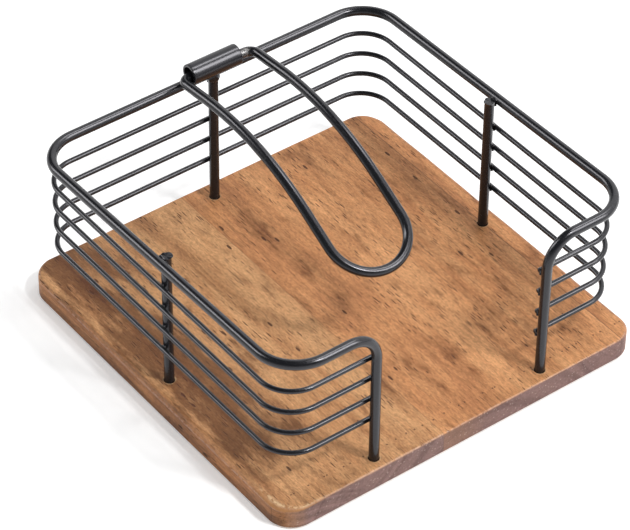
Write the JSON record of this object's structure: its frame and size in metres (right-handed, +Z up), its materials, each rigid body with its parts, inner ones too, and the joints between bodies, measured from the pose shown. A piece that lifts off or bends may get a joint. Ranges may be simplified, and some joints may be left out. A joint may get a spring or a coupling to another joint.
{
  "type": "napkin holder",
  "caption": "Flat napkin holder: a square wooden board with an open bent-wire basket and a hinged wire arm that presses on the stack.",
  "frame": {"origin": "centre of the bounding box's base, on the surface that the pads stand on", "axes": "+Z up; +Y towards the hinge at the back; -Y towards the open mouth between the two front legs; +X to the right seen from the mouth"},
  "size_m": [0.19, 0.19, 0.0914],
  "materials": {
    "wood": "oiled mid-brown hardwood with dark pores, end grain on the front edge",
    "powder_coat": "satin charcoal-black powder coat",
    "screw_steel": "zinc-plated steel",
    "pad_rubber": "matt dark rubber foam"
  },
  "bodies": {
    "holder": {"base_board": "wood", "top_rail": "powder_coat", "side_wire_1": "powder_coat", "side_wire_2": "powder_coat", "side_wire_3": "powder_coat", "side_wire_4": "powder_coat", "left_post": "powder_coat", "right_post": "powder_coat", "back_post": "powder_coat", "hinge_tube": "powder_coat", "base_screws": "screw_steel", "foot_pad_front_left": "pad_rubber", "foot_pad_front_right": "pad_rubber", "foot_pad_back_left": "pad_rubber", "foot_pad_back_right": "pad_rubber"},
    "arm": {"press_arm": "powder_coat"}
  },
  "joints": [
    {"name": "arm_hinge", "type": "hinge", "parent": "holder", "child": "arm", "pos_m": [0, 0.08615, 0.08535], "axis": [-1, 0, 0], "range_deg": [-20.3, 198]}
  ]
}
